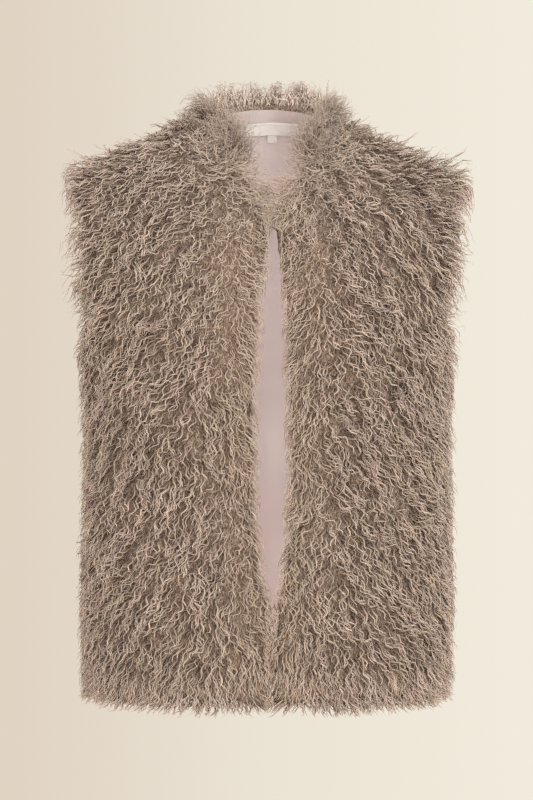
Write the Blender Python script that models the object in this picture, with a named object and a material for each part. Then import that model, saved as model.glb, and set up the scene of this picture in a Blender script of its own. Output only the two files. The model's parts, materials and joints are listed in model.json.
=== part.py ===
"""A sleeveless, collared faux fur vest with an open front, filled out as if it were worn.

Metres, +Z up. The wearer faces -Y, so the wearer's left side is at +X. The origin is midway
between the two side neck points, where the shoulder seams start.
Each fur panel is one wall: its inside is the knitted backing and its outside is the envelope of
the pile, which runs on past the cut edges. A thin lining lies inside each panel.
"""

import math
from collections import namedtuple

import bmesh
import bpy
import numpy as np

# Sizes of the cut, on the inside of the backing
NECK_X = 0.066
SHOULDER_TIP_X = 0.195
LEFT_SHOULDER_SLOPE = math.tan(math.radians(28))
RIGHT_SHOULDER_SLOPE = math.tan(math.radians(24.5))
UNDERARM_Z = -0.230
HEM_Z = -0.603
BACK_NECK_DEPTH = 0.062
BACK_NECK_RISE = 0.014
UPPER_BACK_HALF_WIDTH = 0.150
MIDDLE_X = -0.002
MEETING_X = 0.0055
ROUNDNESS = 2.3
SHOULDER_FLATNESS = 1.3
MIDDLE_FLATNESS = 2.0

# Sizes of the pile, the lining and the gaps
PILE = 0.022
EDGE_PILE = 0.50
HEM_PILE = 0.85
HEM_OVERHANG = 0.014
FRONT_OVERHANG = 0.0135
ARMHOLE_OVERHANG = 0.028
ARMHOLE_FUR_FROM = 0.14
ARMHOLE_FUR_FULL = 0.42
SHOULDER_TIP_FUR = 0.55
TUFT_RELIEF = 0.0035
TUFT_LENGTH = 0.080
EDGE_TUFTS = 0.0035
JOINT_REACH = 0.032
SEAM_GAP = 0.0003
LINING_THICKNESS = 0.0010
LINING_GAP = 0.0005
LINING_HEM_SETBACK = 0.008
LINING_EDGE_SETBACK = 0.002
LINING_NECK_SETBACK = 0.0004

# The standing collar
COLLAR_HEIGHT = 0.016
COLLAR_END_HEIGHT = 0.010
COLLAR_FRONT_ROWS = 6
COLLAR_LEAN = 0.12
COLLAR_PILE = 0.018
COLLAR_OVERHANG = 0.018

# The woven labels at the back neck
LABEL_WIDTH = 0.055
LABEL_HEIGHT = 0.016
LABEL_DROP = 0.0015
TAB_WIDTH = 0.013
TAB_HEIGHT = 0.009
LABEL_THICKNESS = 0.0006
LABEL_LIFT = 0.0006

# Grid of the outside; the inside takes every second row and column
FRONT_COLUMNS = 16
BACK_COLUMNS = 32
NECK_COLUMNS = 12
BODY_ROWS = 24
YOKE_ROWS = 18
YOKE_CROWDING = 1.35

Section = namedtuple("Section", "height half_width front_depth back_depth")
BODY_SECTIONS = (
    Section(-0.603, 0.179, 0.128, 0.120),
    Section(-0.500, 0.180, 0.127, 0.119),
    Section(-0.400, 0.178, 0.121, 0.112),
    Section(-0.310, 0.179, 0.124, 0.111),
    Section(-0.230, 0.182, 0.127, 0.114),
)

# How far up the armhole, the x of its edge, and the half width that the body would have there
Armhole = namedtuple("Armhole", "rise edge_x half_width")
ARMHOLE = (
    Armhole(0.00, 0.182, 0.182),
    Armhole(0.08, 0.1785, 0.184),
    Armhole(0.25, 0.174, 0.191),
    Armhole(0.50, 0.174, 0.203),
    Armhole(0.75, 0.182, 0.211),
    Armhole(1.00, 0.195, 0.215),
)

# The front edge and neckline of one front, by height: how far its cloth stays from the middle
FrontEdge = namedtuple("FrontEdge", "height from_middle")
FRONT_EDGE = (
    FrontEdge(-0.603, 0.0095),
    FrontEdge(-0.520, 0.0095),
    FrontEdge(-0.490, 0.0170),
    FrontEdge(-0.450, 0.0225),
    FrontEdge(-0.400, 0.0250),
    FrontEdge(-0.300, 0.0250),
    FrontEdge(-0.210, 0.0215),
    FrontEdge(-0.170, 0.0180),
    FrontEdge(-0.140, 0.0095),
    FrontEdge(-0.110, 0.0095),
    FrontEdge(-0.088, 0.0210),
    FrontEdge(-0.060, 0.0320),
    FrontEdge(-0.032, 0.0430),
    FrontEdge(-0.012, 0.0540),
    FrontEdge(0.000, 0.0660),
)

# Partings and hollows of the pile: a line in the front view, its depth and its half width
Parting = namedtuple("Parting", "front x_top z_top x_low z_low depth half_width")
PARTINGS = (
    Parting(True, 0.138, -0.062, 0.188, -0.125, 0.007, 0.013),
    Parting(True, -0.050, -0.085, -0.046, -0.235, 0.005, 0.016),
    Parting(True, 0.056, -0.090, 0.052, -0.165, 0.004, 0.015),
    Parting(True, -0.150, -0.270, -0.176, -0.430, 0.005, 0.016),
    Parting(True, -0.120, -0.420, -0.150, -0.540, 0.004, 0.016),
    Parting(True, 0.110, -0.330, 0.140, -0.480, 0.003, 0.018),
    Parting(False, 0.150, -0.150, 0.172, -0.330, 0.005, 0.016),
    Parting(False, -0.145, -0.140, -0.170, -0.310, 0.005, 0.016),
    Parting(False, 0.020, -0.120, -0.010, -0.300, 0.004, 0.018),
    Parting(False, -0.080, -0.330, -0.110, -0.500, 0.004, 0.018),
    Parting(False, 0.085, -0.380, 0.110, -0.540, 0.004, 0.018),
)

# Colours: taupe fur, mauve satin lining, off-white label
FUR_COLOUR = (0.270, 0.195, 0.155)
LINING_COLOUR = (0.560, 0.460, 0.450)
LABEL_COLOUR = (0.780, 0.720, 0.670)


def clear_scene():
    for obj in list(bpy.data.objects):
        bpy.data.objects.remove(obj, do_unlink=True)


def material(name, colour, roughness):
    made = bpy.data.materials.new(name)
    made.use_nodes = True
    shader = made.node_tree.nodes["Principled BSDF"]
    shader.inputs["Base Color"].default_value = (*colour, 1)
    shader.inputs["Roughness"].default_value = roughness
    shader.inputs["Metallic"].default_value = 0
    return made


def smooth_between(at, places, values):
    """Catmull-Rom value at one place of a table, without overshoot past the ends."""
    places = list(places)
    values = list(values)
    if at <= places[0]:
        return values[0]
    if at >= places[-1]:
        return values[-1]
    k = max(i for i, place in enumerate(places) if place <= at)
    span = places[k + 1] - places[k]
    share = (at - places[k]) / span
    before = max(k - 1, 0)
    after = min(k + 2, len(places) - 1)
    slope_here = (values[k + 1] - values[before]) / (places[k + 1] - places[before]) * span
    slope_next = (values[after] - values[k]) / (places[after] - places[k]) * span
    square, cube = share**2, share**3
    return (
        (2 * cube - 3 * square + 1) * values[k]
        + (cube - 2 * square + share) * slope_here
        + (3 * square - 2 * cube) * values[k + 1]
        + (cube - square) * slope_next
    )


def from_table(table, key, column, at):
    return smooth_between(at, [getattr(r, key) for r in table], [getattr(r, column) for r in table])


def ring_depth(x, half_width):
    """Depth of the rounded body section at x, as a share of its full depth."""
    return max(0.0, 1 - (abs(x) / half_width) ** ROUNDNESS) ** (1 / ROUNDNESS)


def ring_angle(x, half_width):
    return math.asin(min(1.0, (abs(x) / half_width)) ** (ROUNDNESS / 2))


def ring_x(angle, half_width):
    return half_width * math.sin(angle) ** (2 / ROUNDNESS)


def shoulder_z(x):
    slope = LEFT_SHOULDER_SLOPE if x > 0 else RIGHT_SHOULDER_SLOPE
    return -max(0.0, abs(x) - NECK_X) * slope


def meeting_x(height):
    """x of the line where the fronts meet, which stands off the middle below the neck."""
    return MEETING_X * min(1.0, max(0.0, -height / 0.05))


def upper_back(x):
    """1 at the middle of the upper back, falling softly to 0 at its sides."""
    return math.cos(math.pi / 2 * min(1.0, abs(x) / UPPER_BACK_HALF_WIDTH)) ** 2


def back_neck(x, turn):
    """Depth and height that the back leans towards at x: a soft swell low down, and at the top
    the neckline itself, both zero on the shoulder seam."""
    bow = math.sqrt(max(0.0, 1 - (x / NECK_X) ** 2))
    sharp = math.sin(turn) ** 14
    depth = BACK_NECK_DEPTH * (bow * sharp + upper_back(x) * (1 - sharp))
    return depth, BACK_NECK_RISE * (bow**2 * sharp + upper_back(x) * (1 - sharp))


def body_point(x, height, depth_share, is_front, half_width):
    column = "front_depth" if is_front else "back_depth"
    depth = from_table(BODY_SECTIONS, "height", column, height)
    y = depth * depth_share(x, half_width)
    return (x, -y if is_front else y, height)


def yoke_point(x, turn, is_front, half_width):
    """A point above the underarm; turn runs from 0 there to a quarter circle at the shoulder."""
    column = "front_depth" if is_front else "back_depth"
    depth = from_table(BODY_SECTIONS, "height", column, UNDERARM_Z) * ring_depth(x, half_width)
    top_y, top_z = (0.0, 0.0) if is_front else back_neck(x, turn)
    top_z += shoulder_z(x)
    flatness = SHOULDER_FLATNESS
    if not is_front:
        flatness += (MIDDLE_FLATNESS - SHOULDER_FLATNESS) * upper_back(x)
    lean = math.cos(turn) ** flatness if turn < math.pi / 2 else 0.0
    y = top_y + (depth - top_y) * lean
    z = UNDERARM_Z + (top_z - UNDERARM_Z) * math.sin(turn)
    return (x, -y if is_front else y, z)


def row_places():
    """One (height, turn) for each row, from the hem to the shoulder; turn is None on the body."""
    rows = []
    for i in range(BODY_ROWS):
        rows.append((HEM_Z + (UNDERARM_Z - HEM_Z) * i / BODY_ROWS, None))
    for i in range(YOKE_ROWS + 1):
        rows.append((None, math.pi / 2 * (i / YOKE_ROWS) ** YOKE_CROWDING))
    return rows


def row_limits(height, turn):
    """Half width of the body and x of the panel's outer edge in one row."""
    if turn is None:
        half_width = from_table(BODY_SECTIONS, "height", "half_width", height)
        return half_width, half_width
    rise = math.sin(turn)
    return (
        from_table(ARMHOLE, "rise", "half_width", rise),
        from_table(ARMHOLE, "rise", "edge_x", rise),
    )


def surface_point(x, height, turn, is_front, half_width):
    if turn is None:
        return body_point(x, height, ring_depth, is_front, half_width)
    return yoke_point(x, turn, is_front, half_width)


def front_grid(side):
    """Points of the inside of a front panel, row by row from the hem, from front edge to side."""
    grid = []
    for height, turn in row_places():
        half_width, edge_x = row_limits(height, turn)
        edge_height = height if turn is None else UNDERARM_Z * (1 - math.sin(turn))
        inner_x = from_table(FRONT_EDGE, "height", "from_middle", edge_height)
        inner_x += side * meeting_x(edge_height)
        low, high = ring_angle(inner_x, half_width), ring_angle(edge_x, half_width)
        row = []
        for j in range(FRONT_COLUMNS + 1):
            x = side * ring_x(low + (high - low) * j / FRONT_COLUMNS, half_width)
            row.append(surface_point(x, height, turn, True, half_width))
        grid.append(row)
    return np.array(grid)


def back_grid():
    """Points of the inside of the back panel, row by row from the hem, from -X to +X."""
    neck_share = NECK_COLUMNS / BACK_COLUMNS
    grid = []
    for height, turn in row_places():
        half_width, edge_x = row_limits(height, turn)
        widest = ring_angle(edge_x, half_width)
        row = []
        for j in range(BACK_COLUMNS + 1):
            across = 2 * j / BACK_COLUMNS - 1
            share = abs(across)
            x = ring_x(widest * share, half_width)
            if turn is not None:
                if share <= neck_share:
                    top_x = NECK_X * math.sin(math.pi / 2 * share / neck_share)
                else:
                    beyond = (share - neck_share) / (1 - neck_share)
                    top_x = NECK_X + (SHOULDER_TIP_X - NECK_X) * beyond
                blend = math.sin(turn) ** 2
                x = x * (1 - blend) + top_x * edge_x / SHOULDER_TIP_X * blend
                if turn == math.pi / 2:
                    x = top_x
            row.append(surface_point(math.copysign(x, across), height, turn, False, half_width))
        grid.append(row)
    return np.array(grid)


def unit(vectors):
    return vectors / np.maximum(np.linalg.norm(vectors, axis=-1, keepdims=True), 1e-9)


def grid_normals(grid, rounds=0):
    """Outward normals of a panel's grid, away from the body's axis, smoothed some rounds."""
    up = np.gradient(grid, axis=0)
    along = np.gradient(grid, axis=1)
    normals = unit(np.cross(along, up))
    middle = grid.shape[0] // 3, grid.shape[1] // 2
    outwards = grid[middle] * (1, 1, 0)
    normals = normals if normals[middle] @ outwards > 0 else -normals
    for _ in range(rounds):
        wide = np.pad(normals, ((1, 1), (1, 1), (0, 0)), mode="edge")
        beside = wide[:-2, 1:-1] + wide[2:, 1:-1] + wide[1:-1, :-2] + wide[1:-1, 2:]
        normals = unit(2 * normals + beside)
    return normals


def lengths(grid, axis):
    """Distance run along a grid's columns (axis 0) or rows (axis 1) from their first points."""
    steps = np.linalg.norm(np.diff(grid, axis=axis), axis=-1)
    before = [(0, 0), (0, 0)]
    before[axis] = (1, 0)
    return np.pad(np.cumsum(steps, axis=axis), before)


def falloff(count, reach):
    """From 1 at an edge to 0, reach rows or columns further in."""
    steps = np.clip(1 - np.arange(count) / reach, 0, 1)
    return steps**2 * (3 - 2 * steps)


def tufts(grid, seed):
    """Relief of the lumps of pile, from -1 to 1, staggered like bricks."""
    rng = np.random.default_rng(seed)
    across = lengths(grid, 1) + 0.35 * lengths(grid, 0)
    up = lengths(grid, 0)
    lumps = np.cos(2 * np.pi * across / TUFT_LENGTH) * np.cos(2 * np.pi * up / TUFT_LENGTH)
    return 0.75 * lumps + 0.25 * rng.uniform(-1, 1, grid.shape[:2])


def parting_depth(grid, is_front):
    """How deep the partings cut into the pile at each point."""
    depth = np.zeros(grid.shape[:2])
    x, z = grid[..., 0], grid[..., 2]
    for p in PARTINGS:
        if p.front != is_front:
            continue
        line = np.array((p.x_low - p.x_top, p.z_low - p.z_top))
        along = ((x - p.x_top) * line[0] + (z - p.z_top) * line[1]) / (line @ line)
        along = np.clip(along, 0, 1)
        away = np.hypot(x - p.x_top - along * line[0], z - p.z_top - along * line[1])
        taper = np.sin(np.pi * np.clip(along, 0.12, 0.88))
        depth += p.depth * taper * np.exp(-((away / p.half_width) ** 2))
    return depth


def edge_outwards(grid, edge):
    """Unit vectors that point out of the panel at one of its edges: hem, inner, outer or top."""
    ends = {
        "hem": grid[0] - grid[1],
        "top": grid[-1] - grid[-2],
        "inner": grid[:, 0] - grid[:, 1],
        "outer": grid[:, -1] - grid[:, -2],
    }
    return unit(ends[edge])


def armhole_weight():
    """How fully the pile flares past the armhole's edge, for each row."""
    weight = []
    for _, turn in row_places():
        rise = 0.0 if turn is None else math.sin(turn)
        share = (rise - ARMHOLE_FUR_FROM) / (ARMHOLE_FUR_FULL - ARMHOLE_FUR_FROM)
        share = min(1.0, max(0.0, share))
        tip = max(0.0, (rise - 0.75) / 0.25) * (1 - SHOULDER_TIP_FUR)
        weight.append(share**2 * (3 - 2 * share) * (1 - tip))
    return np.array(weight)


def lean_to_joint(grid, normals, base, joint):
    """Directions of the pile, which near the neckline turn to the collar's joint, and how far
    each point is clear of it, from 0 to 1."""
    fine = np.linspace(0, len(base) - 1, 4 * len(base) - 3)
    whole = np.arange(len(base))
    line = np.stack([np.interp(fine, whole, base[:, k]) for k in range(3)], axis=1)
    turned = np.stack([np.interp(fine, whole, joint[:, k]) for k in range(3)], axis=1)
    away = np.linalg.norm(grid[:, :, None] - line, axis=-1)
    nearest = away.argmin(axis=-1)
    clear = np.clip(away.min(axis=-1) / JOINT_REACH, 0, 1)
    clear = clear**2 * (3 - 2 * clear)
    leaning = normals * clear[..., None] + turned[nearest] * (1 - clear[..., None])
    return unit(leaning), clear


def pile_surface(grid, normals, clear, is_front, seed, free_sides):
    """The outside of the pile over a panel's grid, running on past its hem and armholes."""
    rows, columns = grid.shape[:2]
    relief = TUFT_RELIEF * tufts(grid, seed) - parting_depth(grid, is_front)
    height = PILE + relief * clear
    rng = np.random.default_rng(seed + 100)

    fade = falloff(rows, 1.6)[:, None]
    jag = EDGE_TUFTS * np.sin(np.arange(columns) * 2.3) * rng.uniform(0.4, 1, columns)
    reach = (HEM_OVERHANG + jag)[None, :, None] * fade[..., None]
    shift = edge_outwards(grid, "hem")[None] * reach
    share = 1 - (1 - HEM_PILE) * fade * np.ones((1, columns))

    for side in free_sides:
        edge = edge_outwards(grid, side)
        column = -1 if side == "outer" else 0
        out_x = math.copysign(1, grid[0, column, 0])
        outwards = unit(edge * (0.5, 0.15, 0.5) + np.array((0.9 * out_x, 0, -0.35)))
        jag = 1 + 0.16 * np.sin(2 * np.pi * lengths(grid, 0)[:, column] / 0.055 + seed)
        fade = falloff(columns, 2.5)
        fade = fade[::-1] if side == "outer" else fade
        weight = armhole_weight()[:, None] * fade[None, :]
        shift = shift + (jag[:, None] * outwards)[:, None] * weight[..., None] * ARMHOLE_OVERHANG
        share = np.minimum(share, 1 - (1 - EDGE_PILE) * weight)
    return grid + normals * (height * share)[..., None] + shift


def keep_in_half(points, axis, side, plane):
    """Holds points on their side of a seam plane, half a seam gap from it."""
    kept = points.copy()
    beyond = side * (kept[..., axis] - plane)
    kept[..., axis] = plane + side * np.maximum(beyond, SEAM_GAP / 2)
    return kept


def flatten_seam_normals(normals, seam_rows, column):
    """Normals on a seam in the y = 0 plane stay in that plane, so both panels meet there."""
    normals[seam_rows, column, 1] = 0
    normals[seam_rows, column] = unit(normals[seam_rows, column])


def wall(name, inner, outer, skin):
    """A closed wall between a coarse inside grid and an outside grid of twice its steps."""
    step = (outer.shape[0] - 1) // (inner.shape[0] - 1)
    mesh = bmesh.new()
    inside = [[mesh.verts.new(p) for p in row] for row in inner]
    outside = [[mesh.verts.new(p) for p in row] for row in outer]
    for net in (inside, outside):
        for low, high in zip(net, net[1:]):
            for j in range(len(low) - 1):
                mesh.faces.new((low[j], low[j + 1], high[j + 1], high[j]))
    rims = (
        (inside[0], outside[0]),
        (inside[-1], outside[-1]),
        ([row[0] for row in inside], [row[0] for row in outside]),
        ([row[-1] for row in inside], [row[-1] for row in outside]),
    )
    for few, many in rims:
        for k in range(len(few) - 1):
            fine = many[k * step : (k + 1) * step + 1]
            if step == 1:
                mesh.faces.new((few[k], few[k + 1], fine[1], fine[0]))
                continue
            mesh.faces.new((few[k], fine[0], fine[1]))
            mesh.faces.new((few[k], fine[1], few[k + 1]))
            mesh.faces.new((few[k + 1], fine[1], fine[2]))
    bmesh.ops.recalc_face_normals(mesh, faces=mesh.faces)
    if mesh.calc_volume(signed=True) < 0:
        bmesh.ops.reverse_faces(mesh, faces=mesh.faces)
    return finish(name, mesh, skin)


def finish(name, mesh, skin):
    data = bpy.data.meshes.new(name)
    mesh.to_mesh(data)
    mesh.free()
    data.materials.append(skin)
    data.shade_smooth()
    data.set_sharp_from_angle(angle=math.radians(50))
    obj = bpy.data.objects.new(name, data)
    bpy.data.collections["faux_fur_vest"].objects.link(obj)
    return obj


def lining_grids(grid, side_columns, neck):
    """Outside and inside of the lining of a panel, from every second point of its inside."""
    points = grid[::2, ::2].copy()
    inwards = -grid_normals(points, rounds=1)
    points[0] = points[0] - edge_outwards(points, "hem") * LINING_HEM_SETBACK
    for column, edge in side_columns:
        points[:, column] = points[:, column] - edge_outwards(points, edge) * LINING_EDGE_SETBACK
    if neck:
        top = edge_outwards(points, "top")[neck]
        points[-1, neck] = points[-1, neck] - top * LINING_NECK_SETBACK
    near = points + inwards * LINING_GAP
    far = points + inwards * (LINING_GAP + LINING_THICKNESS)
    return near, far


def collar_frames(base):
    """At each point of the neckline, the collar's outward and upward directions."""
    along = unit(np.gradient(base, axis=0))
    radial = unit(np.cross(along, (0.0, 0.0, 1.0)))
    if radial[len(radial) // 2, 1] < 0:
        radial = -radial
    square = np.array((0.0, 0.0, 1.0)) - along * along[:, 2:]
    return radial, unit(unit(square) - COLLAR_LEAN * radial)


def mitre(normals, radial):
    """Direction of the joint between a panel's pile and the collar's."""
    joint = unit(unit(normals) + radial)
    for corner in (COLLAR_FRONT_ROWS, -COLLAR_FRONT_ROWS - 1):
        joint[corner, 1] = 0
    return unit(joint)


def straighten(points):
    """Every second point moved midway between its neighbours, to lie on the coarse rim."""
    points[1:-1:2] = (points[0:-2:2] + points[2::2]) / 2
    return points


def panel_normals(name, grid):
    """Normals of a panel; on its seams they stay in the plane of the seam."""
    normals = grid_normals(grid, rounds=3)
    neck = (BACK_COLUMNS - NECK_COLUMNS) // 2
    sides = (0, -1) if name == "back" else (-1,)
    shoulders = (slice(None),)
    if name == "back":
        shoulders = (slice(0, neck + 1), slice(BACK_COLUMNS - neck, None))
    for column in sides:
        flatten_seam_normals(normals, slice(0, BODY_ROWS + 1), column)
    for shoulder in shoulders:
        flatten_seam_normals(normals, -1, shoulder)
    return normals


def front_pile(side, grid, normals, clear):
    """The pile of a front, which also runs past its front edge to the middle."""
    seed = 3 if side > 0 else 4
    outer = pile_surface(grid, normals, clear, True, seed, ["outer"])
    rows = len(grid)
    below_collar = np.clip((rows - 1 - COLLAR_FRONT_ROWS - np.arange(rows)) / 2, 0, 1)
    closing = falloff(FRONT_COLUMNS + 1, 2.5)
    jag = 1 - 0.10 * (1 + np.sin(np.arange(rows) * 1.9 + side))
    reach = (below_collar * jag)[:, None] * closing[None, :]
    outer += np.array((-side * FRONT_OVERHANG, 0, 0)) * reach[..., None]
    thinner = PILE * EDGE_PILE * below_collar[:, None] * closing[None, :]
    return outer - normals * thinner[..., None]


def neckline(panels):
    """The collar's base, from the right front's end round the back to the left front's end.
    panels holds points, or normals, of each panel."""
    first = BODY_ROWS + YOKE_ROWS - COLLAR_FRONT_ROWS
    neck = slice((BACK_COLUMNS - NECK_COLUMNS) // 2, (BACK_COLUMNS + NECK_COLUMNS) // 2 + 1)
    right = panels["front_right"][first:-1, 0]
    left = panels["front_left"][first:-1, 0][::-1]
    return np.concatenate((right, panels["back"][-1, neck], left))


def cut_joint(outers, ends):
    """Moves the neckline edge of each panel's pile onto the collar's joint."""
    first = BODY_ROWS + YOKE_ROWS - COLLAR_FRONT_ROWS
    lead = (BACK_COLUMNS - NECK_COLUMNS) // 2
    around_back = ends[COLLAR_FRONT_ROWS : len(ends) - COLLAR_FRONT_ROWS]
    outers["back"][-1, lead : lead + NECK_COLUMNS + 1] = around_back
    outers["front_right"][first:, 0] = ends[: COLLAR_FRONT_ROWS + 1]
    outers["front_left"][first:, 0] = ends[-COLLAR_FRONT_ROWS - 1 :][::-1]


def collar_height(count):
    share = np.sin(np.linspace(0, np.pi, count)) ** 0.8
    return COLLAR_END_HEIGHT + (COLLAR_HEIGHT - COLLAR_END_HEIGHT) * share


def make_collar(base, ends, radial, upward, fur, satin):
    """The collar band with its pile, and its lining."""
    high = collar_height(len(base))[:, None]
    apart = unit(np.cross(np.gradient(base, axis=0), ends - base))
    apart *= np.sign((apart * upward).sum(axis=1))[:, None] * SEAM_GAP
    inside = np.stack([base + apart, base + upward * high / 2, base + upward * high])
    rng = np.random.default_rng(8)
    tips = COLLAR_OVERHANG * rng.uniform(0.8, 1.1, len(base))[:, None]
    full = COLLAR_PILE * (1 + 0.10 * np.sin(np.arange(len(base)) * 2.2))[:, None]
    shoulder = base + upward * (high + 0.45 * tips) + radial * full
    outside = np.stack(
        [
            ends + apart,
            (ends + apart) * 0.5 + shoulder * 0.5,
            shoulder,
            base + upward * (high + 0.85 * tips) + radial * 0.75 * full,
            base + upward * (high + tips) + radial * 0.32 * full,
        ]
    )
    wall("collar", inside[:, ::2], outside, fur)
    inner = inside[:, ::2].copy()
    inner[0] += upward[::2] * LINING_NECK_SETBACK
    inner[-1] -= upward[::2] * LINING_EDGE_SETBACK / 2
    near = inner - radial[::2] * SEAM_GAP
    far = inner - radial[::2] * (SEAM_GAP + LINING_THICKNESS)
    wall("lining_collar", near, far, satin)


def walk_down(column, distances):
    """Points at these distances below the top of one column of points."""
    points = column[::-1]
    steps = np.linalg.norm(np.diff(points, axis=0), axis=1)
    along = np.concatenate([[0], np.cumsum(steps)])
    return np.stack([np.interp(distances, along, points[:, k]) for k in range(3)], axis=1)


def make_label(name, surface, width, top, height, cloth):
    """A small woven label on the lining's inside, from the lining's own points."""
    neck = slice((BACK_COLUMNS - NECK_COLUMNS) // 4, (BACK_COLUMNS + NECK_COLUMNS) // 4 + 1)
    panel = surface[:, neck]
    distances = top + height * np.linspace(0, 1, 5)
    rows = np.stack([walk_down(panel[:, j], distances) for j in range(panel.shape[1])], axis=1)
    across = MIDDLE_X + width * np.linspace(-0.5, 0.5, 9)
    patch = np.array(
        [[[np.interp(x, row[:, 0], row[:, k]) for k in range(3)] for x in across] for row in rows]
    )
    inwards = grid_normals(patch)
    inwards = -inwards if inwards[1, 4, 1] > 0 else inwards
    near = patch + inwards * LABEL_LIFT
    far = patch + inwards * (LABEL_LIFT + LABEL_THICKNESS)
    wall(name, near, far, cloth)


def make_panel(name, grid, outer, fur, satin):
    """One fur panel and its lining, each held on its own side of the seam planes."""
    sides = {
        "front_left": [(1, -1, 0.0), (0, 1, MEETING_X)],
        "front_right": [(1, -1, 0.0), (0, -1, MEETING_X)],
        "back": [(1, 1, 0.0)],
    }
    is_back = name == "back"
    neck = slice((BACK_COLUMNS - NECK_COLUMNS) // 4, (BACK_COLUMNS + NECK_COLUMNS) // 4 + 1)
    front_edge = [] if is_back else [(0, "inner")]
    near, far = lining_grids(grid, front_edge, neck if is_back else None)
    nets = []
    for points in (grid, outer, near, far):
        for axis, side, plane in sides[name]:
            points = keep_in_half(points, axis, side, plane)
        nets.append(points + np.array((MIDDLE_X, 0, 0)))
    wall(name, nets[0][::2, ::2], nets[1], fur)
    wall(f"lining_{name}", nets[2], nets[3], satin)
    return nets[3]


def main():
    clear_scene()
    group = bpy.data.collections.new("faux_fur_vest")
    bpy.context.scene.collection.children.link(group)
    fur = material("faux_fur_pile", FUR_COLOUR, 0.75)
    satin = material("satin_lining", LINING_COLOUR, 0.40)
    woven = material("woven_label", LABEL_COLOUR, 0.60)

    grids = {"front_left": front_grid(1), "front_right": front_grid(-1), "back": back_grid()}
    normals = {name: panel_normals(name, grid) for name, grid in grids.items()}
    base = straighten(neckline(grids))
    radial, upward = collar_frames(base)
    joint = mitre(neckline(normals), radial)
    ends = straighten(base + joint * PILE)

    outers = {}
    for name, grid in grids.items():
        leaning, clear = lean_to_joint(grid, normals[name], base, joint)
        if name == "back":
            outers[name] = pile_surface(grid, leaning, clear, False, 5, ["inner", "outer"])
        else:
            outers[name] = front_pile(1 if name == "front_left" else -1, grid, leaning, clear)
    cut_joint(outers, ends)

    linings = {name: make_panel(name, grids[name], outers[name], fur, satin) for name in grids}
    middle = np.array((MIDDLE_X, 0, 0))
    make_collar(base + middle, ends + middle, radial, upward, fur, satin)
    make_label("label_main", linings["back"], LABEL_WIDTH, LABEL_DROP, LABEL_HEIGHT, woven)
    tab_top = LABEL_DROP + LABEL_HEIGHT + SEAM_GAP
    make_label("label_size", linings["back"], TAB_WIDTH, tab_top, TAB_HEIGHT, woven)


main()
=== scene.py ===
import json
import math

import bmesh
import bpy
import numpy as np
from bpy.props import FloatProperty, FloatVectorProperty, IntProperty, PointerProperty
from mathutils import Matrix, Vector
from mathutils.bvhtree import BVHTree
from mathutils.kdtree import KDTree

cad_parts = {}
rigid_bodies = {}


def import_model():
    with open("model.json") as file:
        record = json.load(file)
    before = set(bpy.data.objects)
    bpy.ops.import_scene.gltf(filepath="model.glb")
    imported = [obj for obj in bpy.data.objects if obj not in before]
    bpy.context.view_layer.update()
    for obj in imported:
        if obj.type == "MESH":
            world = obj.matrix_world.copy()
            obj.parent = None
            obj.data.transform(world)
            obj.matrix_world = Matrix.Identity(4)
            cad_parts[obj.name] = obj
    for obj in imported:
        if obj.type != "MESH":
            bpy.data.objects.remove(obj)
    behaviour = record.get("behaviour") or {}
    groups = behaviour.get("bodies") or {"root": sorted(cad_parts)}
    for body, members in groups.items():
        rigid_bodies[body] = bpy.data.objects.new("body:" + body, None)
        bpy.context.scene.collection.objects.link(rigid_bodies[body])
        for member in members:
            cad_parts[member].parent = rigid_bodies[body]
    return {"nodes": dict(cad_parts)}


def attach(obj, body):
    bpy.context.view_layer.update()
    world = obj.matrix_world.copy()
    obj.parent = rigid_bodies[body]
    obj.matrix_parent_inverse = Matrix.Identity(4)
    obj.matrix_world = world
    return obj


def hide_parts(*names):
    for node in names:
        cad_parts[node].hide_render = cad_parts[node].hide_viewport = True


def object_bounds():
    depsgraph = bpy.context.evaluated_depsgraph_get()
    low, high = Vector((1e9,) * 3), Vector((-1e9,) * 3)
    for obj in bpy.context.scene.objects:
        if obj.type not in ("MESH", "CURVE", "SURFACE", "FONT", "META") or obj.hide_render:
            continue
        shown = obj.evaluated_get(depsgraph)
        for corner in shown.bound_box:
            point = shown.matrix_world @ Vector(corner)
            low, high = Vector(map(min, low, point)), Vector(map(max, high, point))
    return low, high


bl_info = {
    "name": "Faux fur vest",
    "version": (1, 0, 0),
    "blender": (4, 5, 0),
    "location": "3D View > Sidebar > Fur Vest",
    "description": "Dresses the vest's panels with a curly pile coat, a satin lining and blank labels",
    "category": "Object",
}

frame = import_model()
CAD_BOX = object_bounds()

# The vest's panels, and where its middle and its hem are, in metres
FUR_PANELS = ("front_left", "front_right", "back", "collar")
LININGS = ("lining_front_left", "lining_front_right", "lining_back", "lining_collar")
MIDDLE_X = -0.002
HEM_Z = -0.603
# Share of the pile's depth that the underfur keeps, on the panels and on the collar
SHELL_SHARE = 0.50
COLLAR_SHELL_SHARE = 0.20
# How far tips may pass the frame's box at its low and high side, and how soon they bend back
REACH_LOW = np.array([0.0105, 0.007, 0.015])
REACH_HIGH = np.array([0.0105, 0.007, 0.0175])
BEND_BACK = 0.016

# Where the long pile parts on the fronts: both ends (x, z), how wide and how strong
PARTINGS = (
    (0.138, -0.050, 0.176, -0.110, 0.014, 0.55),
    (-0.036, -0.077, -0.040, -0.224, 0.014, 0.40),
    (0.060, -0.088, 0.056, -0.152, 0.013, 0.45),
    (-0.151, -0.298, -0.180, -0.424, 0.014, 0.45),
)

# The side of the body that each front is on, by its number
SIDES = (1, -1)
# The slit that stays open below the neck: its top and low end, and where its sides are at most
SLIT_TOP = -0.112
SLIT_LOW = -0.30
SLIT_LEFT = 0.0150
SLIT_RIGHT = -0.0010
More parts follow.
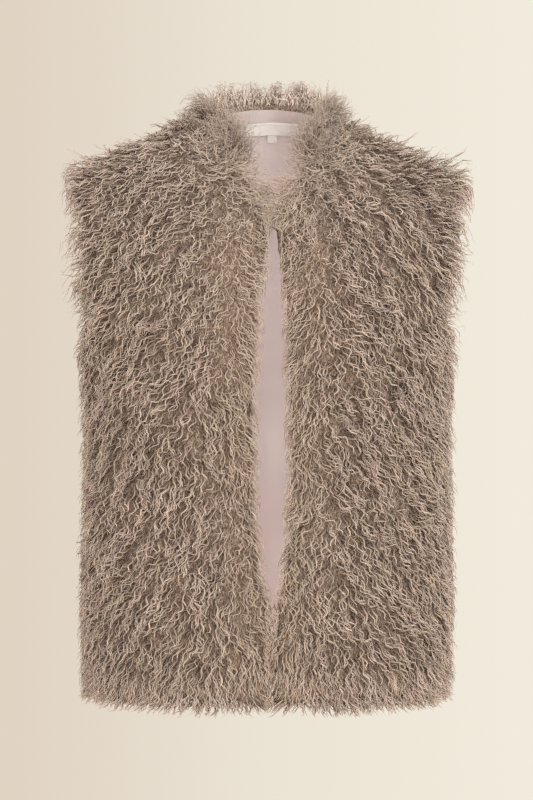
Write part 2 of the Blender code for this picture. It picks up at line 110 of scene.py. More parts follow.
# Heights between which the fronts' pile closes over the slit, at the hem and at the neck
MEETS_AT_HEM = (-0.495, -0.525)
MEETS_AT_NECK = (-0.120, -0.104)
# Heights between which the lap over the open neck sets in, and ends again, and its way outwards
LAP_SETS_IN = (-0.110, -0.088)
LAP_ENDS = (0.004, -0.026)
LAP_FACES = np.array([0.0, -0.94, 0.34])
# How far from a front's edge, and from the collar, the pile is still combed another way
OPENING_REACH = 0.036
COLLAR_REACH = 0.020
# Depth of the pile at most, and where a lock hangs free past an edge
DEEPEST_PILE = 0.030
FREE_PILE = 0.018

# Where each station of a lock stands along its length: the root is hidden, so it has no bends
STATIONS = np.array([0.0, 0.26, 0.39, 0.51, 0.63, 0.75, 0.87, 1.0])
# How thick a lock is along its length: shares of the length, and shares of its width
THICKNESS = ([0, 0.25, 0.5, 0.76, 0.9, 1.0], [0.4, 0.9, 1.0, 0.8, 0.5, 0.0])


def linear(hex_colour):
    """An sRGB hex colour, such as c8b4a5, as the linear values that a shader takes."""
    values = [int(hex_colour[i : i + 2], 16) / 255 for i in (0, 2, 4)]
    return tuple(v / 12.92 if v <= 0.04045 else ((v + 0.055) / 1.055) ** 2.4 for v in values)


def ease(value, low, high):
    """From 0 at the low value to 1 at the high one, slowly at both ends."""
    share = np.clip((value - low) / (high - low), 0.0, 1.0)
    return share * share * (3.0 - 2.0 * share)


def unit(vectors):
    size = np.linalg.norm(vectors, axis=-1, keepdims=True)
    return vectors / np.maximum(size, 1e-9)


def dot(first, second):
    return np.sum(first * second, axis=-1, keepdims=True)


def point_tree(points):
    """A search tree over points, each under its number."""
    tree = KDTree(len(points))
    for number, point in enumerate(points.tolist()):
        tree.insert(point, number)
    tree.balance()
    return tree


def drift(points, scale, seed):
    """A smooth random value for each point, about -1 to 1, with humps the given size apart."""
    source = np.random.default_rng(seed)
    total = np.zeros(points.shape[:-1])
    for _ in range(7):
        wave = unit(source.normal(size=3)) * source.uniform(0.7, 1.5) * 2 * math.pi / scale
        total += np.sin(points @ wave + source.uniform(0, 2 * math.pi))
    return np.clip(total / 2.6, -1.4, 1.4)


# Surfaces of the panels


def welded(nodes):
    """A welded copy of CAD nodes, with the number of the node on each face."""
    shell = bmesh.new()
    panel = shell.faces.layers.int.new("panel")
    for number, name in enumerate(nodes):
        known = len(shell.faces)
        shell.from_mesh(frame["nodes"][name].data)
        shell.faces.ensure_lookup_table()
        for face in shell.faces[known:]:
            face[panel] = number
    bmesh.ops.remove_doubles(shell, verts=shell.verts, dist=0.00002)
    return shell


def finer(shell, cuts):
    for _ in range(cuts):
        bmesh.ops.subdivide_edges(shell, edges=shell.edges, cuts=1, use_grid_fill=True)
        bmesh.ops.triangulate(shell, faces=shell.faces)


def points_of(shell):
    return np.array([v.co[:] for v in shell.verts])


def tree_of(nodes):
    points, corners = [], []
    for name in nodes:
        mesh = frame["nodes"][name].data
        first = len(points)
        points += [v.co.copy() for v in mesh.vertices]
        corners += [[first + i for i in p.vertices] for p in mesh.polygons]
    return BVHTree.FromPolygons(points, corners)


LINING_TREE = tree_of(LININGS)


def feet(points):
    """The place on the lining under each point, where its pile is rooted."""
    return np.array([LINING_TREE.find_nearest(p)[0][:] for p in points.tolist()])


class Coat:
    """The pile's outer surface over all the panels, as one sheet to comb locks along."""

    def __init__(self):
        shell = welded(FUR_PANELS)
        finer(shell, 1)
        shell.verts.index_update()
        points = points_of(shell)
        height = np.linalg.norm(points - feet(points), axis=1)
        inner = [f for f in shell.faces if min(height[v.index] for v in f.verts) < 0.0030]
        bmesh.ops.delete(shell, geom=inner, context="FACES")
        bmesh.ops.remove_doubles(shell, verts=shell.verts, dist=0.0009)
        bmesh.ops.triangulate(shell, faces=shell.faces)
        shell.normal_update()
        shell.verts.index_update()
        panel = shell.faces.layers.int["panel"]
        self.points = points_of(shell)
        self.corners = np.array([[v.index for v in f.verts] for f in shell.faces])
        self.panels = np.array([f[panel] for f in shell.faces])
        edges = np.array([[v.index for v in e.verts] for e in shell.edges])
        normals = np.array([v.normal[:] for v in shell.verts])
        shell.free()
        for _ in range(2):
            total = normals.copy()
            np.add.at(total, edges[:, 0], normals[edges[:, 1]])
            np.add.at(total, edges[:, 1], normals[edges[:, 0]])
            normals = unit(total)
        self.normals = self.level_at_hem(normals)
        self.feet = feet(self.points)
        over = np.abs(dot(self.normals, unit(self.points - self.feet)))[:, 0]
        self.rim = ease(over, 0.85, 0.50) * (self.points[:, 2] > -0.50)
        self.tree = BVHTree.FromPolygons(self.points.tolist(), self.corners.tolist())
        self.levels = np.arange(-0.62, 0.011, 0.01)
        self.edges = [self.front_edge(0), self.front_edge(1)]
        below_lap = (self.levels < SLIT_TOP) & (self.levels > SLIT_LOW)
        self.edges[0][below_lap] = np.maximum(self.edges[0][below_lap], SLIT_LEFT)
        self.edges[1][below_lap] = np.minimum(self.edges[1][below_lap], SLIT_RIGHT)
        own = np.unique(self.corners[self.panels == FUR_PANELS.index("collar")])
        self.collar = point_tree(self.points[own])

    def front_edge(self, number):
        """Where a front's own edge stands across, level by level, from the hem to the neck."""
        own = self.points[np.unique(self.corners[self.panels == number])]
        edge = []
        for level in self.levels:
            near = own[np.abs(own[:, 2] - level) < 0.014]
            edge.append((near[:, 0] * SIDES[number]).min() * SIDES[number] if len(near) else np.nan)
        edge = np.array(edge)
        known = ~np.isnan(edge)
        return np.interp(self.levels, self.levels[known], edge[known])

    def past_edge(self, points, number):
        """True for each point of a front's lock that has left its front at the edge."""
        if number > 1:
            return np.zeros(len(points), bool)
        edge = np.interp(points[:, 2], self.levels, self.edges[number])
        return (edge - points[:, 0]) * SIDES[number] > -0.001

    def keep_gap(self, path, number):
        """Holds the locks back at their own front edge, so that the front stays open."""
        level = path[:, :, 2]
        edge = np.interp(level, self.levels, self.edges[number])
        past = (edge - path[:, :, 0]) * SIDES[number]
        shut = ease(level, *MEETS_AT_HEM) + ease(level, *MEETS_AT_NECK)
        share = 0.20 + 0.80 * np.minimum(shut, 1.0)
        reach = 0.012 + neck_lap(level) * (0.040 if number == 1 else 0.022)
        held = edge - reach * np.tanh(past * share / reach) * SIDES[number]
        path[:, :, 0] = np.where(past > 0, held, path[:, :, 0])

    def level_at_hem(self, normals):
        """At the hem the pile hangs on past the edge, so its way outwards stays level there."""
        radial = unit((self.points - (MIDDLE_X, 0.0, 0.0)) * (0.55, 1.0, 0.0))
        low = ease(self.points[:, 2], HEM_Z + 0.030, HEM_Z + 0.008)[:, None]
        level = unit(normals * (1.0, 1.0, 0.0) + radial * 0.6)
        return unit(normals * (1.0 - low) + level * low)

    def at(self, points):
        """For each point: the nearest place on the coat, the way out, the pile's foot, the rim."""
        hits = [self.tree.find_nearest(p) for p in points.tolist()]
        place = np.array([h[0][:] for h in hits])
        corners = self.corners[[h[2] for h in hits]]
        a, b, c = (self.points[corners[:, i]] for i in range(3))
        whole = np.cross(b - a, c - a)
        size = np.maximum(np.sum(whole * whole, axis=1), 1e-18)
        beta = np.sum(np.cross(place - a, c - a) * whole, axis=1) / size
        gamma = np.sum(np.cross(b - a, place - a) * whole, axis=1) / size
        shares = np.stack([1 - beta - gamma, beta, gamma], axis=1)[:, :, None]
        outwards = unit(np.sum(self.normals[corners] * shares, axis=1))
        foot = np.sum(self.feet[corners] * shares, axis=1)
        rim = np.sum(self.rim[corners] * shares[:, :, 0], axis=1)
        return place, outwards, foot, rim

    def scatter(self, number, count, source):
        """Places spread over one panel, no two of them much closer than the rest."""
        faces = np.nonzero(self.panels == number)[0]
        a, b, c = (self.points[self.corners[faces, i]] for i in range(3))
        areas = np.linalg.norm(np.cross(b - a, c - a), axis=1) / 2
        middles = (a + b + c) / 3
        # Locks stand closer at the opening, the collar, the panels' rims, the hem and the lap
        denser = 1.0 + 0.8 * to_opening(middles) + 0.7 * near_collar(middles)
        denser += 1.6 * self.rim[self.corners[faces]].mean(axis=1) + 0.8 * hem_of(middles)
        denser += 2.6 * to_opening(middles) * neck_lap(middles[:, 2])
        areas *= denser
        tries = int(count * 2.2)
        chosen = source.choice(len(faces), size=tries, p=areas / areas.sum())
        u, v = source.random(tries), source.random(tries)
        flip = u + v > 1
        u[flip], v[flip] = 1 - u[flip], 1 - v[flip]
        places = a[chosen] + (b - a)[chosen] * u[:, None] + (c - a)[chosen] * v[:, None]
        near = point_tree(places)
        spacing = 0.72 * math.sqrt(areas.sum() / count) / np.sqrt(denser[chosen])
        crowded = np.zeros(tries, bool)
        for i, place in enumerate(places.tolist()):
            if crowded[i]:
                continue
            for _, j, _ in near.find_range(place, spacing[i]):
                if j > i:
                    crowded[j] = True
        free = np.nonzero(~crowded)[0]
        rest = np.nonzero(crowded)[0]
        picked = np.concatenate([free, rest])[:count]
        return places[np.sort(picked)]


COAT = Coat()


def neck_lap(level):
    """Where the fronts' pile laps over the open neck, by height."""
    return ease(level, *LAP_SETS_IN) * ease(level, *LAP_ENDS)


def beside_partings(points):
    """The push away from the partings on the fronts, and how deep in a parting a point is."""
    push, deep = np.zeros_like(points), np.zeros(len(points))
    front = points[:, 1] < -0.02
    for x0, z0, x1, z1, width, strength in PARTINGS:
        start, run = np.array([x0, z0]), np.array([x1 - x0, z1 - z0])
        flat = points[:, [0, 2]] - start
        share = np.clip(flat @ run / (run @ run), 0.0, 1.0)
        away = flat - share[:, None] * run
        distance = np.linalg.norm(away, axis=1)
        effect = strength * np.exp(-((distance / width) ** 2)) * front
        away = away / np.maximum(distance, 1e-6)[:, None]
        push[:, 0] += away[:, 0] * effect
        push[:, 2] += away[:, 1] * effect * 0.3
        deep = np.maximum(deep, strength * np.exp(-((distance / width * 1.6) ** 2)) * front)
    return push, deep


def to_opening(points):
    """How near its front's own edge a point is, from 0 to 1."""
    left = np.interp(points[:, 2], COAT.levels, COAT.edges[0])
    right = np.interp(points[:, 2], COAT.levels, COAT.edges[1])
    edge = np.where(points[:, 0] > MIDDLE_X, left, right)
    across = np.abs(points[:, 0] - edge)
    near = np.exp(-((across / OPENING_REACH) ** 2))
    return near * (points[:, 1] < -0.005) * (points[:, 2] < 0.02)


def near_collar(points):
    """How near the collar's pile a point is, from 0 to 1."""
    gap = np.array([COAT.collar.find(p)[2] for p in points.tolist()])
    return np.exp(-((gap / COLLAR_REACH) ** 2))


def hem_of(points):
    """How near the hem a point is, from 0 to 1."""
    return ease(points[:, 2], HEM_Z + 0.050, HEM_Z + 0.010)


def lie(points, outwards, foot, on_collar, own_turn):
    """The way that the pile lies: down and outwards, and up along the collar's top."""
    side = np.sign(points[:, 0] - MIDDLE_X)
    across = np.abs(points[:, 0] - MIDDLE_X)
    shoulder = ease(points[:, 2], -0.20, -0.06)
    out = 0.12 + 0.42 * across / 0.18
    out += shoulder * (0.10 - 0.20 * ease(across, 0.06, 0.16))
    out = np.where(points[:, 1] > 0.0, out * 0.7, out)
    ridge = ease(outwards[:, 2], 0.35, 0.80) * ease(across, 0.205, 0.170)
    out *= 1.0 - 0.80 * ridge
    opening = to_opening(points)
    out -= opening * 0.6
    lap = opening * neck_lap(points[:, 2])
    out -= lap * np.where(side < 0, 2.8, 1.3)
    out *= 1.0 - 0.7 * hem_of(points)
    way = np.zeros_like(points)
    way[:, 0] = side * out
    way[:, 2] = -1.0
    if on_collar:
        radial = unit((points - (MIDDLE_X, -0.005, 0.0)) * (1.0, 1.0, 0.0))
        top = ease(unit(points - foot)[:, 2:], 0.10, 0.60)
        up = np.array([0.0, 0.0, 1.0])
        sides = ease(across, 0.050, 0.080)[:, None]
        rising = radial * (0.15 + 0.90 * sides) + up * (1.0 - 0.35 * sides)
        way = rising * top + (radial * 0.4 - up * 0.6) * (1.0 - top)
        way[:, 0] += drift(points, 0.030, 51) * 0.12
        front_end = ease(points[:, 1], -0.025, -0.060)
        low_end = ease(points[:, 2], -0.005, -0.030)
        inward = np.where(side < 0, 0.25 + 0.65 * low_end, 0.30 * low_end - 0.20)
        way[:, 0] -= side * front_end * inward
    way += beside_partings(points)[0]
    turn = 0.32 * drift(points, 0.085, 11) + 0.28 * drift(points, 0.030, 12) + own_turn
    turn = turn * (1.0 - 0.55 * hem_of(points)) * (1.0 - 0.4 * on_collar)
    way = unit(way - outwards * dot(way, outwards))
    across_way = np.cross(outwards, way)
    return way * np.cos(turn)[:, None] + across_way * np.sin(turn)[:, None]


def standing(points, on_collar):
    """How far the pile stands up from its panel, from 0, flat, to 1, straight out."""
    if on_collar:
        return np.full(len(points), 0.42)
    across, level = np.abs(points[:, 0] - MIDDLE_X), points[:, 2]
    armhole = ease(across, 0.150, 0.190) * ease(level, -0.28, -0.14)
    shoulder = ease(level, -0.10, -0.05) * ease(across, 0.100, 0.130)
    stand = 0.06 + 0.18 * armhole + 0.06 * ease(level, -0.09, -0.02)
    return stand + shoulder * np.where(points[:, 0] > 0.0, 0.26, 0.02)


def trace(places, number, length, stand, layer, own_turn, lift):
    """Follows each lock along the coat, or straight on where it has left its front's edge."""
    on_collar = FUR_PANELS[number] == "collar"
    root = 0.12 if on_collar else 0.30
    path = np.empty((len(places), len(STATIONS), 3))
    out = np.empty_like(path)
    point, outwards, foot, rim = COAT.at(places)
    for k, share in enumerate(STATIONS):
        if k:
            way = lie(point, outwards, foot, on_collar, own_turn)
            step = (share - STATIONS[k - 1]) * length * (1.0 - 0.6 * stand)
            point = point + way * step[:, None]
            near, next_outwards, next_foot, rim = COAT.at(point)
            free = COAT.past_edge(point, number)[:, None]
            over = (to_opening(point) * neck_lap(point[:, 2]) * (number < 2))[:, None]
            next_outwards = unit(next_outwards + (LAP_FACES - next_outwards) * 0.85 * over)
            outwards = np.where(free, outwards, next_outwards)
            foot = np.where(free, point - outwards * FREE_PILE, next_foot)
            back = np.clip(dot(near - point, outwards), -0.006, 0.006) * (1.0 - over)
            point = point + outwards * np.where(free, 0.0, back)
        depth = np.minimum(np.linalg.norm(point - foot, axis=1), DEEPEST_PILE)
        risen = 1.0 - (1.0 - share) ** 2.4
        bury = (1.0 - (root + (layer - root) * risen)) * depth
        raise_by = lift * share**2 + stand * length * share**1.4
        inwards_way = unit(outwards + (unit(point - foot) - outwards) * rim[:, None])
        path[:, k] = point + outwards * raise_by[:, None] - inwards_way * bury[:, None]
        out[:, k] = outwards
    return path, out


def clumps_of(places, clump_count, source):
    """The locks that the others gather to, and the clump that each lock is in."""
    guides = np.sort(source.permutation(len(places))[:clump_count])
    near = point_tree(places[guides])
    return guides, np.array([near.find(p)[1] for p in places.tolist()])


def stay_near_box(path):
    """Bends back the tips that pass the frame's box, and below the armholes a little sooner."""
    low, high = np.array(CAD_BOX[0]), np.array(CAD_BOX[1])
    inner = 0.016 * ease(path[:, :, 2], -0.22, -0.27) * np.sign(path[:, :, 0])
    path[:, :, 0] += inner
    path = np.where(path > high, high + REACH_HIGH * np.tanh((path - high) / BEND_BACK), path)
    path = np.where(path < low, low - REACH_LOW * np.tanh((low - path) / BEND_BACK), path)
    path[:, :, 0] -= inner
    return path


def comb(places, number, settings, source):
    """The centre lines of the locks that grow at the places, with their widths and marks."""
    count = len(places)
    on_collar = FUR_PANELS[number] == "collar"
    on_back = FUR_PANELS[number] == "back"
    # How far each root is off the middle, towards the back and up, and what it is near
    off_middle, back, level = np.abs(places[:, 0] - MIDDLE_X), places[:, 1], places[:, 2]
    opening, ruffle, hem = to_opening(places), near_collar(places), hem_of(places)
    lap = opening * neck_lap(level)
    edge = ease(off_middle, 0.15, 0.20)
    armhole = edge * ease(level, -0.24, -0.18)
    at_neck = ease(level, -0.26, -0.16) * np.exp(-((off_middle / 0.075) ** 2))
    at_neck = at_neck * (back < 0.0) * (not on_collar)
    at_back = on_collar * ease(back, 0.0, 0.04)

    length = settings.lock_length * source.uniform(0.82, 1.16, count)
    length *= 1.0 - 0.30 * opening * (1.0 - neck_lap(level))
    if on_collar:
        length *= 0.86 - 0.28 * ease(back, -0.055, -0.015)
        length *= 1.0 - 0.25 * ease(off_middle, 0.050, 0.080)
    if on_back:
        length *= 1.12
    length *= 1.0 + lap * (0.60 if number == 1 else 0.30)
    # Wisps are thin long locks that stand off the rest, and on the collar a few are darker too
    wisp = source.random(count) < 0.14 + 0.22 * hem + 0.35 * on_collar + 0.12 * armhole
    length[wisp] *= 1.12 + 0.35 * on_collar * ease(back[wisp], 0.0, 0.05)
    dark_wisp = wisp & (np.arange(count) % 5 == 0) & on_collar
    length[dark_wisp] *= 1.22
    length *= 1.0 - 0.15 * at_neck * (1.0 - lap)
    # At the hem each tip ends at its own level, about 2 mm above the box's low side to 17 mm below
    room = level - (CAD_BOX[0][2] + 0.002 - 0.019 * source.random(count) ** 2.2)
    room -= 0.008 * edge
    length = np.minimum(length, np.maximum(room, 0.006) * 1.1)
    stand = standing(places, on_collar) * source.uniform(0.5, 1.5, count)
    stand[wisp] += 0.10 + 0.18 * armhole[wisp]
    stand += 0.14 * ruffle * (not on_collar)
    layer = source.uniform(0.72, 1.02, count)
    own_turn = source.normal(0, 0.30, count) * (1.0 + 1.8 * ruffle) * (1.0 + 1.1 * lap)
    lift = source.uniform(0.0, 0.006, count) + wisp * 0.004
    path, out = trace(places, number, length, stand, layer, own_turn, lift)

    # Locks lean to the nearest guide, so that they stand in clumps
    clump_count = max(8, int(count * settings.locks_spacing_area / settings.clump_spacing**2))
    guides, clump = clumps_of(places, clump_count, source)
    gather = source.uniform(0.05, 0.42, clump_count)[clump] * (1.0 - 0.8 * on_collar)
    gather[wisp] *= 0.3
    pull = (ease(STATIONS, 0.1, 1.0) * gather[:, None])[:, :, None]
    guide = guides[clump]
    path = path[guide] + (path - path[guide]) * (1.0 - pull)

    # Each lock waves from side to side and a little out and in, more towards its tip
    phase = drift(places[guides], 0.05, 21) * 3.0 + source.uniform(0, 2 * math.pi, clump_count)
    phase = phase[clump] + source.normal(0, 0.75, count)
    pitch = settings.wave_length * source.uniform(0.85, 1.25, clump_count)[clump]
    pitch = pitch * source.uniform(0.94, 1.06, count) * (1.0 - 0.12 * on_collar)
    pitch = pitch * np.maximum(0.95 * length / settings.lock_length, 1.0)
    height = settings.wave_height * source.uniform(0.55, 1.35, clump_count)[clump]
    height = height * source.uniform(0.8, 1.2, count) * (1.0 - 0.30 * opening)
    height[wisp] *= 1.45
    pitch[wisp] *= 0.86
    pitch *= 1.0 - 0.15 * at_neck
    height = height * (1.0 - 0.4 * hem) * (1.0 + 0.7 * on_collar)
    angle = 2 * math.pi * STATIONS * (length / pitch)[:, None] + phase[:, None]
    swing = ease(STATIONS, 0.05, 0.38) * (0.70 + 0.64 * STATIONS)
    grown = (height[:, None] * swing)[:, :, None]
    across = unit(np.cross(out, unit(np.gradient(path, axis=1))))
    path = path + across * np.sin(angle)[:, :, None] * grown
    path = path + out * np.cos(angle)[:, :, None] * grown * 0.55
    if number < 2:
        COAT.keep_gap(path, number)
    path = stay_near_box(path)

    width = settings.lock_width / 2 * source.uniform(0.65, 1.3, count)
    width[wisp] *= 0.6
    width *= (1.0 - 0.30 * opening) * (1.0 - 0.35 * on_collar) * (1.0 - 0.22 * at_neck)
    if on_back:
        width *= 1.2
    fuller = 1.0 + 1.3 * at_back[:, None] * ease(STATIONS, 0.65, 0.25)
    width = width[:, None] * np.interp(STATIONS, *THICKNESS) * fuller

    # Lighter and darker locks, and a haze of fine tips at the opening, the neck and the edges; painted
    # light makes the collar's back and the right side paler, and painted shade darkens the partings
    soft_edge = ease(places[:, 0], -0.058, -0.024) * ease(level, -0.36, -0.22)
    soft_edge *= (number == 1) * (back < 0.0)
    spread = 0.18 * source.normal(0, 0.5, clump_count)[clump] + source.normal(0, 0.13, count)
    spread *= (1.0 - 0.55 * soft_edge) * (1.0 - 0.35 * at_neck)
    tone = 0.5 + spread * (1.0 - 0.35 * opening - 0.55 * lap) + 0.07 * drift(places, 0.05, 31)
    # The collar's locks are a little darker, and at its back much lighter: painted light, as if its
    # hairs were lit through from behind
    tone += on_collar * (0.40 * ease(back, -0.01, 0.05) - 0.18)
    # Locks in a parting are darker, painted shade where the pile parts; a few wisps at the collar's back
    # are darker locks
    tone -= 0.20 * beside_partings(places)[1] + 0.30 * dark_wisp * at_back
    warmth = 0.5 + 0.35 * drift(places, 0.045, 41) + source.normal(0, 0.15, count)
    # At the collar's back the locks turn pale along their whole length: painted light, as if lit through
    # from behind
    collar_painted_backlight = 0.80 * ease(back, -0.03, 0.05) * (1.0 - 0.8 * dark_wisp)
    # Paler locks at the side edges and the shoulder tops; the right side, where the key light falls, is
    # paler than the left as painted light
    side_haze_and_painted_light = edge * np.where(places[:, 0] > 0.0, 0.30, 0.20)
    side_haze_and_painted_light += (1.0 - edge) * 0.22 * ease(level, -0.07, -0.02)
    front_haze_and_painted_light = np.maximum(0.55 * lap, 0.45 * soft_edge) + 0.10 * opening + 0.2 * hem
    front_haze_and_painted_light += side_haze_and_painted_light + 0.15 * at_neck
    marks = {
        "tone": np.clip(tone, 0, 1),
        "warmth": np.clip(warmth, 0, 1),
        "haze": np.clip(opening * 1.1, 0, 1) * (not on_collar),
        "paler": np.where(on_collar, collar_painted_backlight, front_haze_and_painted_light),
    }
    return path, out, width, marks


def lock_object(name, path, out, width, marks, source):
    """One mesh of closed three-sided locks, each with its own cell on the map."""
    count, stations = path.shape[:2]
    rings = stations - 2
    along = unit(np.gradient(path, axis=1))
    across = unit(np.cross(out, along))
    rise = np.cross(along, across)
    turn = source.uniform(0, 2 * math.pi, count)[:, None] + np.arange(3) * 2 * math.pi / 3
    across_part = np.cos(turn)[:, None, :, None] * across[:, 1:-1, None, :]
    rise_part = 0.75 * np.sin(turn)[:, None, :, None] * rise[:, 1:-1, None, :]
    ring = path[:, 1:-1, None, :] + width[:, 1:-1, None, None] * (across_part + rise_part)
    points = np.concatenate([path[:, :1], ring.reshape(count, rings * 3, 3), path[:, -1:]], axis=1)

    corners, starts, cells = [], [], []
    tip = 1 + rings * 3
    for j in range(3):
        right = (j + 1) % 3
        starts.append(len(corners))
        corners += [0, 1 + right, 1 + j]
        cells += [((j + 0.5) / 3, 0.0), ((j + 1) / 3, STATIONS[1]), (j / 3, STATIONS[1])]
        for k in range(rings - 1):
            starts.append(len(corners))
            low, high = 1 + 3 * k, 4 + 3 * k
            corners += [low + j, low + right, high + right, high + j]
            v0, v1 = STATIONS[k + 1], STATIONS[k + 2]
            cells += [(j / 3, v0), ((j + 1) / 3, v0), ((j + 1) / 3, v1), (j / 3, v1)]
        starts.append(len(corners))
        last = 1 + 3 * (rings - 1)
        corners += [tip, last + j, last + right]
        cells += [((j + 0.5) / 3, 1.0), (j / 3, STATIONS[-2]), ((j + 1) / 3, STATIONS[-2])]

    per_lock = points.shape[1]
    base = np.arange(count)[:, None]
    all_corners = (np.array(corners) + base * per_lock).ravel()
    all_starts = (np.array(starts) + base * len(corners)).ravel()
    columns = max(1, math.ceil(math.sqrt(count * 5)))
    rows = math.ceil(count / columns)
    cell = np.array(cells) * (0.76, 0.88) + (0.12, 0.06)
    corner_of_cell = np.stack([np.arange(count) % columns, np.arange(count) // columns], axis=1)
    spread = (cell + corner_of_cell[:, None, :]) / (columns, rows)

    mesh = bpy.data.meshes.new(name)
    mesh.vertices.add(count * per_lock)
    mesh.vertices.foreach_set("co", points.astype(np.float32).ravel())
    mesh.loops.add(len(all_corners))
    mesh.loops.foreach_set("vertex_index", all_corners.astype(np.int32))
    mesh.polygons.add(len(all_starts))
    mesh.polygons.foreach_set("loop_start", all_starts.astype(np.int32))
    mesh.update(calc_edges=True)
    mesh.polygons.foreach_set("use_smooth", np.ones(len(all_starts), bool))
    uv = mesh.uv_layers.new(name="OFBake")
    uv.data.foreach_set("uv", spread.astype(np.float32).ravel())
    share = np.concatenate([[0.0], np.repeat(STATIONS[1:-1], 3), [1.0]])
    values = {mark: np.repeat(each, per_lock) for mark, each in marks.items()}
    paler = values.pop("paler")
    values["along"] = paler + (1.0 - paler) * np.tile(share, count)
    for mark in ("along", "tone", "warmth", "haze"):
        stored = mesh.attributes.new(mark, "FLOAT", "POINT")
        stored.data.foreach_set("value", np.asarray(values[mark], np.float32))
    mesh.update()
    return shown(name, mesh)


def clear_piece(name):
    """Takes away an earlier piece of this name, so that an operator can run again."""
    old = bpy.data.objects.get(name)
    if old:
        bpy.data.objects.remove(old)


def shown(name, data):
    clear_piece(name)
    piece = bpy.data.objects.new(name, data)
    bpy.context.scene.collection.objects.link(piece)
    return piece


# Materials


def add_node(tree, kind, settings=None, values=None, links=None, stops=()):
    """Adds a shader node with its settings, its sockets' values, the links into them, which
    come from a socket or a node's first output, and a colour ramp's stops."""
    node = tree.nodes.new("ShaderNode" + kind)
    for key, value in (settings or {}).items():
        setattr(node, key, value)
    for key, value in (values or {}).items():
        node.inputs[key].default_value = value
    for key, source in (links or {}).items():
        output = source.outputs[0] if hasattr(source, "outputs") else source
        tree.links.new(output, node.inputs[key])
    if stops:
        ramp = node.color_ramp.elements
        ramp.remove(ramp[-1])
        ramp[0].position = stops[0][0]
        ramp[0].color = (*stops[0][1], 1)
        for place, colour in stops[1:]:
            ramp.new(place).color = (*colour, 1)
    return node


def new_material(name):
    made = bpy.data.materials.get(name)
    if made:
        bpy.data.materials.remove(made)
    made = bpy.data.materials.new(name)
    made.use_nodes = True
    made.node_tree.nodes.clear()
    return made, made.node_tree


def close_material(tree, colour, surface, height=None, relief=None):
    """Joins a colour, the values of a surface and the height of its relief to the output."""
    links = {"Base Color": colour}
    if height:
        links["Normal"] = add_node(tree, "Bump", values=relief, links={"Height": height})
    shader = add_node(tree, "BsdfPrincipled", values=surface, links=links)
    add_node(tree, "OutputMaterial", links={"Surface": shader})


def two_shades(colour, share):
    """Stops from a slightly darker shade of a colour to the colour itself."""
    return [(0.3, tuple(share * v for v in colour)), (0.7, colour)]


def pile_material(settings):
    """Curly acrylic pile, heat set into locks: soft satin fibres, dark at the root, pale at the tip."""
    made, tree = new_material("acrylic_pile")
    names = ("along", "tone", "warmth", "haze")
    marks = [add_node(tree, "Attribute", {"attribute_name": name}) for name in names]
    along, tone, warmth, haze = (mark.outputs["Fac"] for mark in marks)
    root, tip = settings.root_colour[:], settings.tip_colour[:]
    cool = [(0.12, root), (0.42, linear("967e74")), (0.72, linear("c0aca2")), (0.96, tip)]
    warm = [(0.12, linear("5e4a3c")), (0.42, linear("938170")), (0.72, linear("beae9e"))]
    warm = warm + [(0.96, linear("d2c2b5"))]
    shades = [add_node(tree, "ValToRGB", links={"Fac": along}, stops=s) for s in (cool, warm)]
    both = add_node(
        tree, "Mix", {"data_type": "RGBA"},
        links={0: warmth, 6: shades[0], 7: shades[1]},
    )
    hazy_share = add_node(tree, "Math", {"operation": "MULTIPLY"}, values={1: 0.55}, links={0: haze})
    hazy = add_node(
        tree, "Mix", {"data_type": "RGBA"}, values={7: (*linear("c4b1a0"), 1)},
        links={0: hazy_share, 6: both.outputs[2]},
    )
    # Fibres in a lock split it into strands 0.9 mm apart, drawn a little coarser than real ones
    place = add_node(tree, "TexCoord").outputs["Object"]
    strand = add_node(
        tree, "TexNoise", values={"Scale": 1100.0, "Detail": 2.0, "Roughness": 0.6},
        links={"Vector": place},
    )
    lightness = add_node(
        tree, "MapRange", links={"Value": tone},
        values={"From Min": 0.0, "From Max": 1.0, "To Min": 0.69, "To Max": 1.30},
    )
    flecks = add_node(
        tree, "MapRange", links={"Value": strand},
        values={"From Min": 0.3, "From Max": 0.7, "To Min": 0.86, "To Max": 1.14},
    )
    level = add_node(
        tree, "Math", {"operation": "MULTIPLY"}, links={0: lightness, 1: flecks}
    )
    sources = {"Value": level, "Color": hazy.outputs[2]}
    shade = add_node(tree, "HueSaturation", links=sources)
    surface = {"Roughness": 0.52, "IOR": 1.49, "Sheen Weight": 0.10, "Sheen Roughness": 0.5}
    relief = {"Strength": 0.4, "Distance": 0.0003}
    close_material(tree, shade, surface, strand, relief)
    return made


def underfur_material(name, lighter):
    """Knitted pile backing under short underfur: matt brown, streaked by its strands."""
    made, tree = new_material(name)
    place = add_node(tree, "TexCoord").outputs["Object"]
    # Strands of underfur are 1.5 mm wide and 9 mm long, and wander by 3 mm as the locks do
    bend = add_node(
        tree, "TexNoise", values={"Scale": 75.0, "Detail": 1.0}, links={"Vector": place}
    )
    wander = add_node(
        tree, "VectorMath", {"operation": "MULTIPLY_ADD"}, values={1: (0.018, 0.018, 0.018)},
        links={0: bend.outputs["Color"], 2: place},
    )
    stretch = add_node(
        tree, "Mapping", values={"Scale": (650.0, 650.0, 110.0)}, links={"Vector": wander}
    )
    strands = add_node(
        tree, "TexNoise", values={"Scale": 1.0, "Detail": 3.0, "Roughness": 0.7},
        links={"Vector": stretch},
    )
    stops = [(0.32, "48382e"), (0.44, "7d695b"), (0.54, "a18c7c"), (0.64, "d0beae")]
    stops = [(share, tuple(v * lighter for v in linear(shade))) for share, shade in stops]
    colour = add_node(tree, "ValToRGB", links={"Fac": strands}, stops=stops)
    surface = {"Roughness": 0.9, "Specular IOR Level": 0.15, "Sheen Weight": 0.2}
    relief = {"Strength": 1.0, "Distance": 0.003}
    close_material(tree, colour, surface, strands, relief)
    return made


